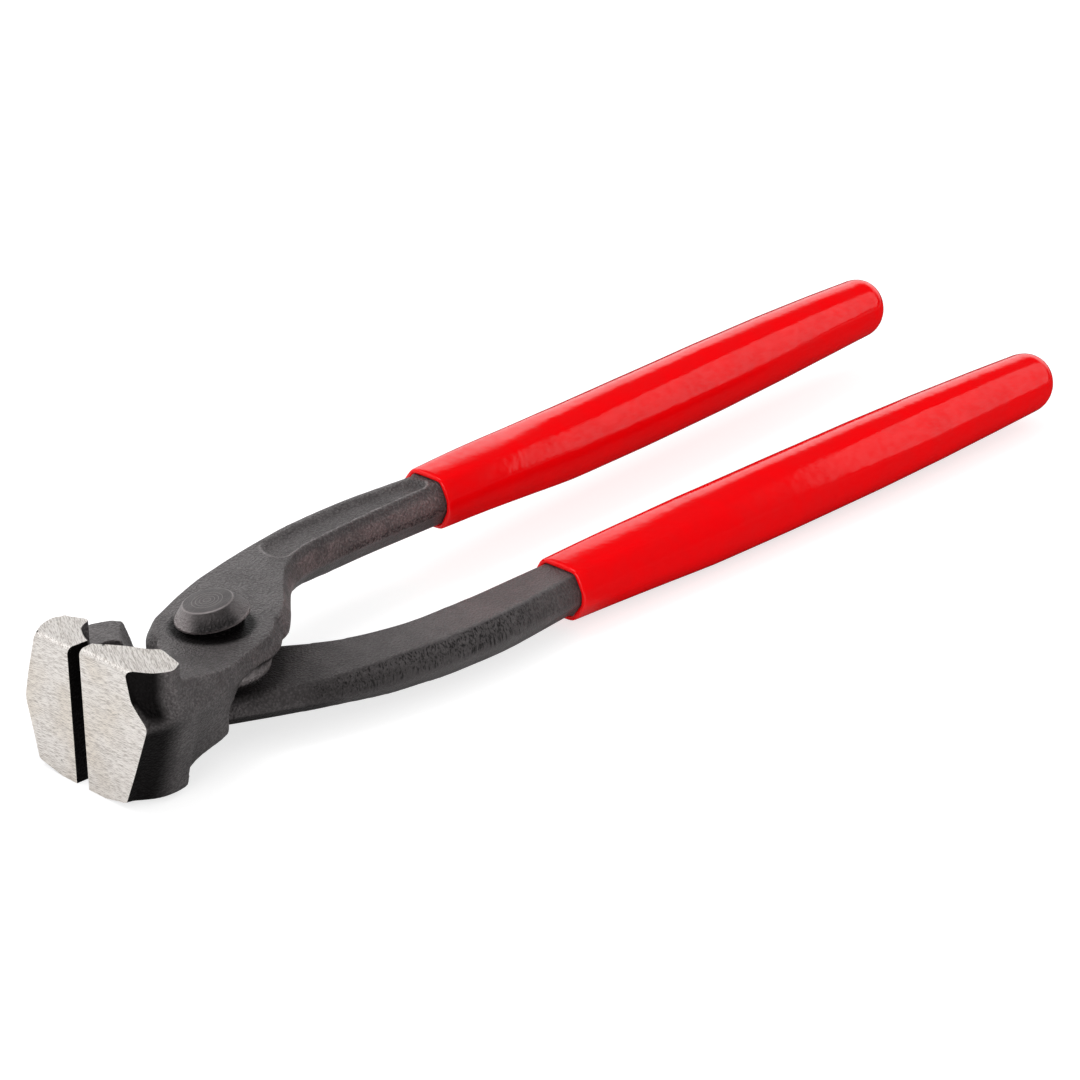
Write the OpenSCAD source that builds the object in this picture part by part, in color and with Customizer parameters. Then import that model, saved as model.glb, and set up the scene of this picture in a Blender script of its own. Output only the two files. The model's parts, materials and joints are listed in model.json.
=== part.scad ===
// End cutting nippers with ground front and side jaws: two forged halves on one rivet, with PVC grips.
// Frame: the pivot axis is Z, the jaws point to -X, the handles to +X, and z = 0 is the flat end of
// the lower rivet head. Heights of the forgings are measured from the lap plane between the halves.

/* [Overall] */
// Length over everything, from the ground jaw faces to the grip ends
overall_l = 250; // [235:1:265]
// Distance from the pivot to the ground jaw faces
jaw_reach = 31.2; // [29.6:0.2:33]

/* [Joint] */
// Diameter of the joint disc on each half, at its widest line
disc_d = 24.2; // [23.5:0.1:26]
// Thickness of the upper half at the joint
disc_t = 8.6; // [7.6:0.1:9.6]
// Thickness of the lower half at the joint
lower_t = 6.4; // [5.8:0.1:7.6]
// Draft of the disc from its widest line to its flat faces
disc_draft = 1.5; // [0.5:0.1:2]
// Diameter of the bearing boss on the lap face of the upper half
boss_d = 20.4; // [18:0.2:22]
// Diameter of the bearing boss on the lap face of the lower half
lower_boss_d = 17; // [15:0.2:19]
// Height of the bearing bosses above the levers' flats
boss_h = 1.0; // [0.4:0.1:1.6]
// Gap between the bearing bosses of the two halves
lap_gap = 0.1; // [0.04:0.02:0.3]
// Radius that each jaw arm leaves free for the other half to swing in
swing_r = 14.6; // [13.8:0.1:15]
// Radius that each jaw arm leaves free for the other disc alone
disc_room_r = 13.4; // [12.8:0.1:14]
// Angle beside the stop face over which the lever's root can swing
root_sweep = 24; // [18:1:40]
// Angle from the jaw side at which the stop face of each arm stands
stop_angle = 56; // [50:1:60]

/* [Rivet] */
// Diameter of the rivet shank
shank_d = 9; // [7:0.5:10]
// Running clearance round the shank, on the radius
shank_play = 0.05; // [0.02:0.01:0.1]
// Diameter of both rivet heads at the rim
head_rim_d = 13.8; // [12.6:0.1:15]
// Diameter of the flat on top of both heads
head_flat_d = 10.3; // [8.6:0.1:12]
// Diameter of the neck under the upper head
neck_d = 11.6; // [10.4:0.1:12]
// Height of the neck under the upper head
neck_h = 1.5; // [0.8:0.1:2]
// Height of the straight rim of the upper head
rim_h = 0.5; // [0.3:0.1:1]
// Height of the cone above the rim of the upper head
cone_h = 2.6; // [1.5:0.1:3.2]
// Height of the flatter, closed head under the lower half
closed_h = 1.6; // [1:0.1:2.2]
// Axial play under the closed head
head_play = 0.1; // [0.04:0.02:0.3]

/* [Jaws] */
// Width of the gap between the jaws at the front faces
jaw_gap = 3.3; // [2:0.1:5]
// Depth of the foot of both jaws below the lap plane
foot_drop = 11.7; // [10:0.1:13]
// Width of both jaws at the foot, from the middle plane
foot_w = 11.3; // [9:0.1:12.5]
// Height of the upper half's side lip above the lap plane
near_lip_z = 15.5; // [13.5:0.1:16]
// Width of the upper half's jaw at the lip, from the middle plane
near_lip_w = 12.8; // [11:0.1:14]
// How far the upper half's lip runs out behind the front face
near_lip_flare = 6.8; // [3:0.1:8]
// Distance from the middle plane to the heel of the upper half's lip
near_heel_w = 11.6; // [9:0.1:13]
// How far the upper half's inner wall falls back from the gap behind the front face
near_relief = 1; // [0:0.1:2]
// Height of the forging ridge on the upper half's jaw
near_ridge_z = 6.1; // [3:0.1:8]
// Width of the upper half's jaw at the ridge, from the middle plane
near_ridge_w = 18.3; // [15:0.1:19]
// Depth of the thumb hollow above the ridge of the upper half's jaw
near_hollow = 0.9; // [0:0.1:2]
// Height of the lower half's side lip above the lap plane
far_lip_z = 14.6; // [13:0.1:15.5]
// Width of the lower half's jaw at the lip, from the middle plane
far_lip_w = 9.4; // [8:0.1:12]
// How far the lower half's lip runs out behind the front face
far_lip_flare = 2.0; // [1:0.1:4]
// Distance from the middle plane to the heel of the lower half's lip, where it hooks inwards
far_heel_w = 7.4; // [6:0.1:9]
// Height of the forging ridge on the lower half's jaw
far_ridge_z = 0.8; // [-2:0.1:4]
// Width of the lower half's jaw at the ridge, from the middle plane
far_ridge_w = 13.8; // [12:0.1:16]
// How far the cheek of the upper half's arm fills the throat beside the joint disc
near_cheek = 5.2; // [3:0.1:6]
// Reach of the hollow behind the lips, from the middle plane to each arm
throat_w = 9.8; // [8:0.1:10.6]
// Drop of the upper half's arm below the lap plane, outside the swing of the lower half
near_arm_drop = 5.1; // [3:0.1:7]
// Rise of the lower half's arm above the lap plane, outside the swing of the upper half
far_arm_rise = 7.9; // [5:0.1:9]
// Lean of the lower half's arm away from the upper disc, as a share of its height
far_arm_lean = 0.35; // [0:0.05:0.5]

/* [Levers] */
// Thickness of a lever along the handle
lever_t = 8.9; // [7.8:0.1:10]
// Draft along the outer edge of a lever where it leaves the joint
root_draft = 1.7; // [1.2:0.1:2.4]
// Draft from the flats of a lever to its widest line, on each side
lever_draft = 1.8; // [0.8:0.1:2.2]
// Rounder draft along the outer edge of a lever's outer flat
crown_draft = 2.9; // [1.8:0.1:3.2]
// Height of a lever's middle line above the lap plane at the grip mouth
mouth_rise = 4.1; // [3.6:0.1:5]
// Height of a lever's middle line above the lap plane at its end
end_rise = 2.7; // [1.5:0.1:4]
// Sideways place of a grip mouth's middle
mouth_y = 17.9; // [17:0.1:19]
// Sideways place of a grip end's middle
end_y = 23.5; // [20:0.1:27]
// Half width of a lever's widest line at the grip mouth
mouth_half_w = 5.6; // [5.2:0.05:6]
// Length of the recessed panel on the upper half's lever
panel_l = 43.5; // [30:0.5:46]
// Length of the round at each end of the panel
panel_end = 3.2; // [2:0.1:5]
// Width of the border between the panel and the outer edge of the lever's flat
far_border = 1.1; // [0.6:0.1:2]
// Width of the rim between the panel and the inner edge of the lever's flat
near_border = 0.6; // [0.4:0.1:1.5]
// Depth of the recessed panel
panel_depth = 0.8; // [0.4:0.1:1.2]

/* [Grips] */
// Distance from the pivot to the grip mouths
mouth_x = 70.5; // [68:0.1:74]
// Half width of a grip at its mouth, sideways
mouth_grip_a = 6.9; // [6.7:0.05:7.4]
// Half height of a grip at its mouth
mouth_grip_b = 5.6; // [5.4:0.05:6.2]
// Half width of a grip at its thickest place, sideways
grip_a = 7.9; // [7.2:0.05:9]
// Half height of a grip at its thickest place
grip_b = 7.2; // [6.4:0.05:8.4]
// Half width of a grip near its end, sideways
grip_end_a = 6.8; // [5.8:0.05:7.5]
// Half height of a grip near its end
grip_end_b = 6.2; // [5.2:0.05:7]
// Length of the rounded end of a grip
grip_dome = 5.5; // [4:0.5:9]
// Thickness of the sleeve at its closed end
grip_floor = 10; // [8:0.5:16]
// Clearance between a tang and its sleeve
grip_fit = 0.1; // [0.04:0.02:0.25]

/* [Hidden] */
$fn = 64;
forged = [0.22, 0.21, 0.21];
turned = [0.28, 0.26, 0.26];
red_pvc = [0.85, 0.02, 0.03];

// Places that follow from the sizes above
front_x = -jaw_reach;
tip_x = overall_l - jaw_reach;
disc_r = disc_d / 2;
lap_z = lower_t + head_play + closed_h;
tang_end_x = tip_x - grip_floor;
gap_turn = asin(jaw_gap / 2 / jaw_reach);
mouth_top = mouth_rise + lever_t / 2;
mouth_bottom = mouth_rise - lever_t / 2;

// Larger than any piece, for cuts that run right through
beyond = 60;
// Rings that a loft gets between two rows of its table
rings_per_span = 3;
// Rounding of a grip's mouth
rim_round = 0.7;
// Points round a grip
grip_sides = 20;

// Row of a table, with the first and last rows repeated past its ends
function row(table, i) = table[max(0, min(len(table) - 1, i))];

// Smooth curve through the rows of a table, at u counted in rows
function curve(table, u) =
    let (i = min(floor(u), len(table) - 2), t = u - i)
    let (a = row(table, i - 1), b = row(table, i), c = row(table, i + 1), d = row(table, i + 2))
    b + (c - a) * t / 2 + (2 * a - 5 * b + 4 * c - d) * t * t / 2 + (3 * b - a - 3 * c + d) * t * t * t / 2;

// Places along a table from row a to row b, in rows
function steps(a, b) = [for (k = [0 : (b - a) * rings_per_span]) a + k / rings_per_span];

function mix(a, b, t) = a + (b - a) * t;

function total(list, k = 0) = k < len(list) - 1 ? list[k] + total(list, k + 1) : list[k];

// Closed solid through a list of rings that all have the same number of points
module loft(rings) {
    n = len(rings[0]);
    last = len(rings) - 1;
    hub_a = (last + 1) * n;
    hub_b = hub_a + 1;
    points = concat([for (r = rings) each r], [total(rings[0]) / n, total(rings[last]) / n]);
    sides = [for (i = [0 : last - 1], j = [0 : n - 1])
        let (p = i * n + j, q = i * n + (j + 1) % n) each [[p, p + n, q + n], [p, q + n, q]]];
    cap_a = [for (j = [0 : n - 1]) [hub_a, j, (j + 1) % n]];
    cap_b = [for (j = [0 : n - 1]) [hub_b, last * n + (j + 1) % n, last * n + j]];
    polyhedron(points, concat(sides, cap_a, cap_b));
}

// Plan of a lever on the +Y side with its lap face down, from the joint to the grip mouth.
// Each row: x, outer edge, inner edge of the upper half, inner edge of the lower half,
// all at the widest line, then how far the lever of the upper half and that of the lower half
// have come from the joint to their full section, then the draft of the upper half's inner top edge.
lever_plan = [
    [-5.5, 11.1, -5, -3, 0, 0, lever_draft],
    [-1.4, 13.1, -6.5, -4.5, 0, 0, lever_draft],
    [3, 15.25, -8, -6, 0, 0, lever_draft],
    [10, 18.15, -7.8, -3.5, 0, 0.1, lever_draft],
    [15, 19.65, -3.8, 0.1, 0, 0.28, lever_draft],
    [20, 21.1, 1.7, 4.2, 0.05, 0.5, lever_draft],
    [25, 22.25, 6.8, 7.3, 0.15, 0.7, 0.9 * lever_draft],
    [31, 23.35, 10.6, 9.4, 0.4, 0.77, 0.55 * lever_draft],
    [38, 24.4, 11.8, 11, 0.8, 0.87, 0.45 * lever_draft],
    [51, 24.9, 12.5, 12.1, 1, 1, 0.6 * lever_draft],
    [61, 24.3, 12.4, 12.2, 1, 1, 0.9 * lever_draft],
    [mouth_x, mouth_y + mouth_half_w, mouth_y - mouth_half_w, mouth_y - mouth_half_w, 1, 1, lever_draft],
];

// Lever row at a given x, found by halving the span that holds it
function lever_at(x, a = 0, b = len(lever_plan) - 1, n = 18) =
    let (m = (a + b) / 2, r = curve(lever_plan, m))
    n == 0 ? r : (r[0] < x ? lever_at(x, m, b, n - 1) : lever_at(x, a, m, n - 1));

// Forged section square to X, widest at mid height. The four drafts are those of the outer and
// inner edges of the top, then of the inner and outer edges of the bottom.
function forged_ring(x, out, in, top, bottom, drafts) =
    let (mid = (top + bottom) / 2, land = (top - bottom) / 8)
    [
        [x, out, mid - land], [x, out, mid + land], [x, out - drafts[0], top], [x, in + drafts[1], top],
        [x, in, mid + land], [x, in, mid - land], [x, in + drafts[2], bottom], [x, out - drafts[3], bottom],
    ];

// Share of the way from a to b, kept within 0 and 1
function way(x, a, b) = max(0, min(1, (x - a) / (b - a)));

// Draft along the outer edge of a lever's outer flat
function crown_at(r, upper) = mix(root_draft, crown_draft, upper ? way(r[0], -6, 22) : r[5]);

function lever_ring(r, upper) =
    let (joint_t = upper ? disc_t : lower_t, share = upper ? r[4] : r[5])
    let (web = lever_draft + (upper ? 2.4 * way(r[0], 27, 18) : 0))
    forged_ring(r[0], r[1], upper ? r[2] : r[3], mix(joint_t, mouth_top, share), mix(boss_h, mouth_bottom, share),
        [crown_at(r, upper), upper ? r[6] : lever_draft, web, lever_draft]);

// Tang inside the grip: place along the handle, then half width and half thickness
function handle_mid(x) =
    let (k = (x - mouth_x) / (tip_x - mouth_x))
    [mix(mouth_y, end_y, k), mix(mouth_rise, end_rise, k)];

function tang_ring(x, share, grow = 0) =
    let (m = handle_mid(x), half_w = share * mouth_half_w + grow, half_t = share * lever_t / 2 + grow)
    let (draft = share * lever_draft)
    forged_ring(x, m[0] + half_w, m[0] - half_w, m[1] + half_t, m[1] - half_t, [draft, draft, draft, draft]);

tang_taper = 0.72;

module lever(upper) {
    loft([for (u = steps(0, len(lever_plan) - 1)) lever_ring(curve(lever_plan, u), upper)]);
    loft([tang_ring(mouth_x, 1), tang_ring(mix(mouth_x, tang_end_x, 0.25), 1), tang_ring(tang_end_x, tang_taper)]);
}

// Places along the panel, each with the share of the full width that it has there
function panel_places(x_a, x_b) = concat(
    [for (t = [12 : 15 : 72]) [x_a + panel_end * (1 - cos(t)), sin(t)]],
    [for (k = [0 : 8]) [mix(x_a + panel_end, x_b - panel_end, k / 8), 1]],
    [for (t = [72 : -15 : 12]) [x_b - panel_end * (1 - cos(t)), sin(t)]]);

// Pocket with round ends that follows the lever, as the dies leave it for a size mark
module panel() {
    x_b = mouth_x - 1;
    x_a = x_b - panel_l;
    floor_z = mouth_top - panel_depth;
    open_h = 3;
    loft([for (p = panel_places(x_a, x_b)) let (r = lever_at(p[0]))
        let (far = r[1] - crown_at(r, true) - far_border, near = r[2] + r[6] + near_border)
        let (mid = (far + near) / 2, half = p[1] * (far - near) / 2) [
            [p[0], mid + half, floor_z], [p[0], mid + half, floor_z + open_h],
            [p[0], mid - half, floor_z + open_h], [p[0], mid - half, floor_z],
        ]]);
}

// Joint disc with its bearing boss, lap face down
module disc(t, boss) {
    land = t / 8;
    mid = (t + boss_h) / 2;
    rotate_extrude()
        polygon([[0, lap_gap / 2], [boss / 2, lap_gap / 2], [boss / 2, boss_h], [disc_r - disc_draft / 3, boss_h],
            [disc_r, mid - land], [disc_r, mid + land], [disc_r - 0.85 * disc_draft, t], [0, t]]);
}

module bore() {
    translate([0, 0, -beyond])
        cylinder(d = shank_d + 2 * shank_play, h = 2 * beyond);
}

// Plan of a jaw and its arm on the -Y side, from the front face back into the joint disc.
// Each row has four plan points: inner wall, ridge, lip edge and foot edge. The heel is the inner end of
// the lip's rear edge, cheek is how far the wall behind it stands out from the disc towards the middle, and
// relief is how far the inner wall falls back from the gap.
function jaw_plan(lip_w, lip_flare, ridge_w, lip_l, heel_w, cheek, relief) = let (swell = 0.6 * (21 - ridge_w)) [
    [front_x - 2, 0, front_x - 2, -ridge_w, front_x - 2, -lip_w, front_x - 2, -foot_w],
    [front_x, 0, front_x, -ridge_w, front_x, -lip_w, front_x, -foot_w],
    [front_x + 3.6 - 0.4 * relief, -1 - relief, front_x + 3, -ridge_w - 0.7 * swell,
        front_x + 2.6, -lip_w - 0.7 * lip_flare, front_x + 4.4, -foot_w - 3.2],
    [front_x + 6.5, -0.6 * throat_w - 0.8 * relief, front_x + 6.6, -ridge_w - swell,
        front_x + 5.6, -lip_w - lip_flare, front_x + 8, -foot_w - 4],
    [front_x + 9.5, -heel_w, front_x + 10.4, -ridge_w - 0.8 * swell,
        front_x + lip_l, -lip_w - 0.8 * lip_flare, front_x + 11.6, -foot_w - 3.5],
    [-disc_r - 5, -throat_w - 0.2 + 0.5 * cheek, -disc_r - 4, -18.4, -disc_r - 4.2, -17.2, -disc_r - 4.6, -15],
    [-disc_r - 0.8 - 0.2 * cheek, -6.8 + 0.8 * cheek, -10.3, -16.4, -9.6, -15.2, -10.4, -14.9],
    [-9 - 0.4 * cheek, -3 + cheek, -4.5, -13.9, -4.3, -13.2, -4.4, -10],
    [-3, 2, 4.5, -11.2, 4.3, -10.5, 2.9, -7.9],
];

// Section of a jaw or arm from its inner wall to its outer ridge. Between lip and ridge its side swells out
// by the share dip of its width, or is hollowed.
function jaw_ring(p, top, ridge, foot, dip_share, hollow) =
    let (inner = [p[0], p[1]], out = [p[2], p[3]], lip = [p[4], p[5]], sole = [p[6], p[7]])
    let (dip = mix(lip, out, dip_share) + hollow * (inner - out) / norm(inner - out), land = 0.5)
    [
        [inner[0], inner[1], foot], [inner[0], inner[1], top], [lip[0], lip[1], top],
        [dip[0], dip[1], mix(top, ridge, 0.62)], [out[0], out[1], ridge + land], [out[0], out[1], ridge - land],
        [sole[0], sole[1], foot + 1.2], [mix(sole[0], inner[0], 0.5), mix(sole[1], inner[1], 0.5), foot],
    ];

// Share of the height of the head that the arm keeps, at each row of the plan
arm_share = [1, 1, 1, 0.7, 0.55, 0.3, 0.06, 0, 0];

// Jaw and arm on the -Y side. The head has its full height up to row 4, the arm runs on into the disc.
// climb is the share of the rise to the lip that the arm makes before the head, and lap_side is 1 where
// the disc of this half lies above the lap plane and -1 where it lies below.
module jaw(lip_z, lip_w, lip_flare, lip_l, heel_w, cheek, relief, ridge_z, ridge_w, dip_share, hollow,
    arm_top, climb, arm_foot, lap_side) {
    plan = jaw_plan(lip_w, lip_flare, ridge_w, lip_l, heel_w, cheek, relief);
    lean = lap_side > 0 ? 0 : far_arm_lean;
    swing_z = lap_side > 0 ? boss_h - beyond : -boss_h;
    joint_z = lap_side * ((lap_side > 0 ? disc_t : lower_t) + boss_h) / 2;
    difference() {
        union() {
            loft([for (u = steps(0, 4)) jaw_ring(curve(plan, u), lip_z + 1, ridge_z, -foot_drop, dip_share, hollow)]);
            loft([for (u = steps(3, 8)) let (share = curve(arm_share, u), turn = max(0, u - 5) / 3)
                jaw_ring(curve(plan, u), mix(arm_top, lip_z, climb * share), mix(ridge_z, joint_z, turn),
                    -mix(arm_foot, foot_drop, share), 0.5, 0)]);
        }
        // Ground front face, ground side lip and the gap between the jaws
        translate([front_x - beyond, -beyond, -beyond])
            cube([beyond, 2 * beyond, 2 * beyond]);
        translate([front_x - beyond, -beyond, lip_z])
            cube([2 * beyond, 2 * beyond, beyond]);
        rotate(gap_turn)
            translate([-beyond, 0, -beyond])
                cube([beyond - swing_r, beyond, 2 * beyond]);
        // Room for the other half to swing in, up to the stop face
        translate([0, 0, swing_z]) {
            cylinder(r1 = disc_room_r, r2 = disc_room_r + lean * beyond, h = beyond);
            intersection() {
                cylinder(r = swing_r, h = beyond);
                rotate(180 + stop_angle - root_sweep)
                    cube(beyond);
            }
            rotate(180 + stop_angle)
                cube(beyond);
        }
    }
}

module upper_half() {
    color(forged)
        translate([0, 0, lap_z])
            difference() {
                union() {
                    disc(disc_t, boss_d);
                    lever(true);
                    jaw(near_lip_z, near_lip_w, near_lip_flare, 8, near_heel_w, near_cheek, near_relief, near_ridge_z, near_ridge_w,
                        0.42, near_hollow, disc_t, 1, near_arm_drop, 1);
                }
                bore();
                panel();
            }
}

module lower_half() {
    color(forged)
        translate([0, 0, lap_z])
            difference() {
                union() {
                    rotate([180, 0, 0]) {
                        disc(lower_t, lower_boss_d);
                        lever(false);
                    }
                    mirror([0, 1, 0])
                        jaw(far_lip_z, far_lip_w, far_lip_flare, 7.6, far_heel_w, 0.8, 0, far_ridge_z, far_ridge_w,
                            0.72, 0, far_arm_rise, 0, lower_t, -1);
                }
                bore();
            }
}

// Turned in one piece: cone head on a neck above, shank through both halves, closed head below
module pivot_rivet() {
    rim_z = disc_t + neck_h;
    color(turned)
        translate([0, 0, lap_z])
            rotate_extrude()
                polygon([
                    [0, -lap_z], [head_flat_d / 2, -lap_z], [head_rim_d / 2, closed_h - lap_z],
                    [shank_d / 2, closed_h - lap_z], [shank_d / 2, disc_t], [neck_d / 2, disc_t],
                    [neck_d / 2, rim_z], [head_rim_d / 2, rim_z], [head_rim_d / 2, rim_z + rim_h],
                    [head_flat_d / 2, rim_z + rim_h + cone_h], [0, rim_z + rim_h + cone_h],
                ]);
}

// Length of a grip along its handle. Each row: x, half width, half height and how square the section is.
grip_rows = [
    [mouth_x + rim_round, mouth_grip_a, mouth_grip_b, 2.7],
    [mouth_x + 14, mix(mouth_grip_a, grip_a, 0.3), mix(mouth_grip_b, grip_b, 0.35), 2.5],
    [mouth_x + 38, mix(mouth_grip_a, grip_a, 0.9), mix(mouth_grip_b, grip_b, 0.9), 2.3],
    [mix(mouth_x, tip_x, 0.6), grip_a, grip_b, 2.2],
    [tip_x - grip_dome - 14, mix(grip_a, grip_end_a, 0.65), mix(grip_b, grip_end_b, 0.65), 2.1],
    [tip_x - grip_dome, grip_end_a, grip_end_b, 2],
];

// Squared oval round the handle's middle line
function grip_ring(r) =
    let (m = handle_mid(r[0]))
    [for (k = [0 : grip_sides - 1]) let (t = 360 * (k + 0.5) / grip_sides)
        [r[0], m[0] + r[1] * sign(cos(t)) * pow(abs(cos(t)), 2 / r[3]),
            m[1] + r[2] * sign(sin(t)) * pow(abs(sin(t)), 2 / r[3])]];

module grip() {
    rim = [[mouth_x, mouth_grip_a - rim_round / 2, mouth_grip_b - rim_round / 2, 2.7]];
    body = [for (u = steps(0, len(grip_rows) - 1)) curve(grip_rows, u)];
    dome = [for (t = [18 : 18 : 72]) [tip_x - grip_dome * (1 - sin(t)), grip_end_a * cos(t), grip_end_b * cos(t), 2]];
    tip = [[tip_x, grip_end_a * 0.1, grip_end_b * 0.1, 2]];
    difference() {
        loft([for (r = concat(rim, body, dome, tip)) grip_ring(r)]);
        loft([tang_ring(mouth_x - 1, 1, grip_fit), tang_ring(mix(mouth_x, tang_end_x, 0.25), 1, grip_fit),
            tang_ring(tang_end_x + grip_fit, tang_taper, grip_fit)]);
    }
}

module upper_grip() {
    color(red_pvc)
        translate([0, 0, lap_z])
            grip();
}

module lower_grip() {
    color(red_pvc)
        translate([0, 0, lap_z])
            rotate([180, 0, 0])
                grip();
}

upper_half();
lower_half();
pivot_rivet();
upper_grip();
lower_grip();
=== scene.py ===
"""Looks of a pair of end cutting nippers: forged halves with ground jaws, a turned rivet and dipped sleeves.

Run as a script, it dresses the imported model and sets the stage. Its settings are in the sidebar panel.
"""

import json
import math

import bmesh
import bpy
import numpy as np
from bpy.props import FloatProperty, FloatVectorProperty, IntProperty, PointerProperty
from mathutils import Matrix, Vector


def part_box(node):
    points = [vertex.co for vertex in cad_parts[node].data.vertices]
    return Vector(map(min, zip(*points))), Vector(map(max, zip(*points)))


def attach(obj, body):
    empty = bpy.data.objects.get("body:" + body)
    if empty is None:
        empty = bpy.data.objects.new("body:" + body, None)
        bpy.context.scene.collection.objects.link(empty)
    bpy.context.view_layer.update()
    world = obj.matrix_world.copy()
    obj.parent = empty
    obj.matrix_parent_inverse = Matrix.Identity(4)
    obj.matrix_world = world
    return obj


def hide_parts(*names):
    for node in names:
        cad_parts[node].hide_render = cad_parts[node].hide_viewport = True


bl_info = {
    "name": "End cutting nippers",
    "version": (1, 0, 0),
    "blender": (4, 5, 0),
    "location": "3D View > Sidebar > Nippers",
    "description": "Dresses the nippers' solids as forged steel, ground steel and dipped plastic",
    "category": "Mesh",
}

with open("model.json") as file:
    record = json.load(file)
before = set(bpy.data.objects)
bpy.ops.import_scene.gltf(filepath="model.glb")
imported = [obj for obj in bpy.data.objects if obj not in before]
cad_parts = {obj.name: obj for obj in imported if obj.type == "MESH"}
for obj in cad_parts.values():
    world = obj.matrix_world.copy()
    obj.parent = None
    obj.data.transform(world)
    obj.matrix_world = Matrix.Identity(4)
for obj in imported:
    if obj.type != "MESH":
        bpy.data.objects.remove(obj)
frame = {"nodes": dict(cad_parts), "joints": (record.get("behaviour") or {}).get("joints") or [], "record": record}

MM = 0.001
LAP_Z = frame["joints"][0]["pos_m"][2]
MOUNTS = {m["name"]: m for m in frame["record"]["mounts"]}
MOUTH_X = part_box("upper_grip")[0].x
TIP_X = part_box("upper_grip")[1].x

# Directions in plan: the rivet's front, the camera's left and the front of the upper disc
CAMERA_WAY, LEFT_WAY, AHEAD_WAY = (-0.55, -0.835), (-0.69, 0.724), (0.55, -0.835)

# Forged halves: places of their finishes, cuts that round a brow, fold that stays crisp, distances at which
# points are welded or lie on a face, and how far from the middle the gap is cut
FORGED, GROUND = 0, 1
BROW_CUTS = [math.radians(angle) for angle in (15.0, 30.0, 45.0, 60.0, 75.0)]
CRISP_FOLD = math.radians(38)
WELD, ON_FACE, GAP_HALF = 1e-6, 2e-5, 7 * MM

# Panel of the upper lever: X beyond which it lies, limits of its floor's height, X beyond which the lever is level
PANEL_START, PANEL_LOW, PANEL_HIGH, LEVEL_START = 22 * MM, LAP_Z + 7.0 * MM, LAP_Z + 8.3 * MM, 40 * MM

# Rivet: radii, depths below its top, height of its foot, and how its head was set askew
FLAT_RADIUS, NECK_RADIUS, SHANK_RADIUS = 4.6 * MM, 5.6 * MM, 4.5 * MM
RIM_HIGH, RIM_LOW, HEAD_LOW, FOOT_HIGH = 2.6 * MM, 3.1 * MM, 4.6 * MM, 1.6 * MM
LEAN_AXIS, SLIP_WAY = Vector((-0.564, -0.825, 0)), Vector((-0.357, 0.934, 0))

# Sleeves: share of the length, half width and half height in millimetres, squareness of the section
SLEEVE_ROWS = np.array([
    (0.0, 6.9, 5.6, 2.9), (0.10, 7.2, 6.25, 2.6), (0.18, 7.5, 6.75, 2.35), (0.26, 7.9, 7.3, 2.15),
    (0.42, 8.15, 7.6, 2.05), (0.60, 8.2, 7.65, 2.0), (0.74, 7.85, 7.4, 2.0), (0.87, 7.15, 7.0, 2.0),
    (0.958, 6.68, 6.6, 2.0)])
# Sleeves: middle line at the mouth and at the tip, from the pivot's axis and the lap plane, in millimetres
MIDDLE_Y, MIDDLE_Z = (17.9, 23.5), (4.1, 2.7)
# Sleeves: depths of the bore, shares and squareness of the dome, length and rise of the dip mark
BORE_DEPTHS = (7.0 * MM, 3.0 * MM, 1.0 * MM)
DOME_SHARES = (0.15, 0.3, 0.45, 0.58, 0.69, 0.78, 0.85, 0.905, 0.945, 0.972, 0.988)
DOME_SQUARE, DIP_LENGTH, DIP_RISE = 2.3, 0.25 * MM, 0.9 * MM

# Finishes: reflection of blackened steel, black of the painted shade on the skin and on the rivet, bottom of a pit
STEEL_IOR, STEEL_TINT = 1.75, (1.0, 0.93, 0.935, 1.0)
SKIN_PAINTED_SHADE, RIVET_PAINTED_SHADE, PIT = (0.0024, 0.0020, 0.0020, 1), (0.002, 0.0018, 0.0018, 1), (0.05, 0.045, 0.04, 1)

# Stage: aim point, shift of the picture, strengths of the backdrop and the rest in mirrors and of the even light,
# and the floor's reach, its drop below the part and its glow
AIM_X, SHIFT_RIGHT, SHIFT_UP = 0.08718, 0.00199, 0.00437
BACKDROP, REST, EVEN = 1.22, 0.03, 0.75
FLOOR_REACH, FLOOR_DROP, FLOOR_GLOW = 3.0, 0.1 * MM, 0.7


class HalfSettings(bpy.types.PropertyGroup):
    """Sizes and colours of the two forged halves."""

    voxel: FloatProperty(
        name="Skin step", description="Distance between the points of the forged skin",
        default=0.00032, min=0.0003, max=0.001, precision=5, unit="LENGTH")
    soften: IntProperty(
        name="Softening", description="Rounds of smoothing that round off the forged edges",
        default=5, min=0, max=30)
    proud: FloatProperty(
        name="Grinding stock", description="Height that the ground faces stand proud before they are ground flat",
        default=0.002, precision=4, unit="LENGTH")
    panel_depth: FloatProperty(
        name="Panel depth", description="Depth of the panel that is pressed into the upper half's lever",
        default=0.0008, precision=4, unit="LENGTH")
    panel_wall: FloatProperty(
        name="Panel wall", description="Width of the rounded wall round the panel",
        default=0.0007, precision=4, unit="LENGTH")
    boss: FloatProperty(
        name="Boss height", description="Height of the bearing boss below the disc's underside at the front",
        default=0.0027, precision=4, unit="LENGTH")
    brow_round: FloatProperty(
        name="Brow rounding", description="Radius between a ground front face and its side lip",
        default=0.0012, precision=4, unit="LENGTH")
    gap: FloatProperty(
        name="Jaw gap", description="Gap between the jaws at the front faces",
        default=0.0033, precision=4, unit="LENGTH")
    skin_color: FloatVectorProperty(
        name="Forged skin", description="Colour of the black forged skin",
        subtype="COLOR", size=4, default=(0.071, 0.0635, 0.0635, 1))
    ground_color: FloatVectorProperty(
        name="Ground steel", description="Colour of the ground faces",
        subtype="COLOR", size=4, default=(0.97, 0.93, 0.89, 1))


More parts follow.
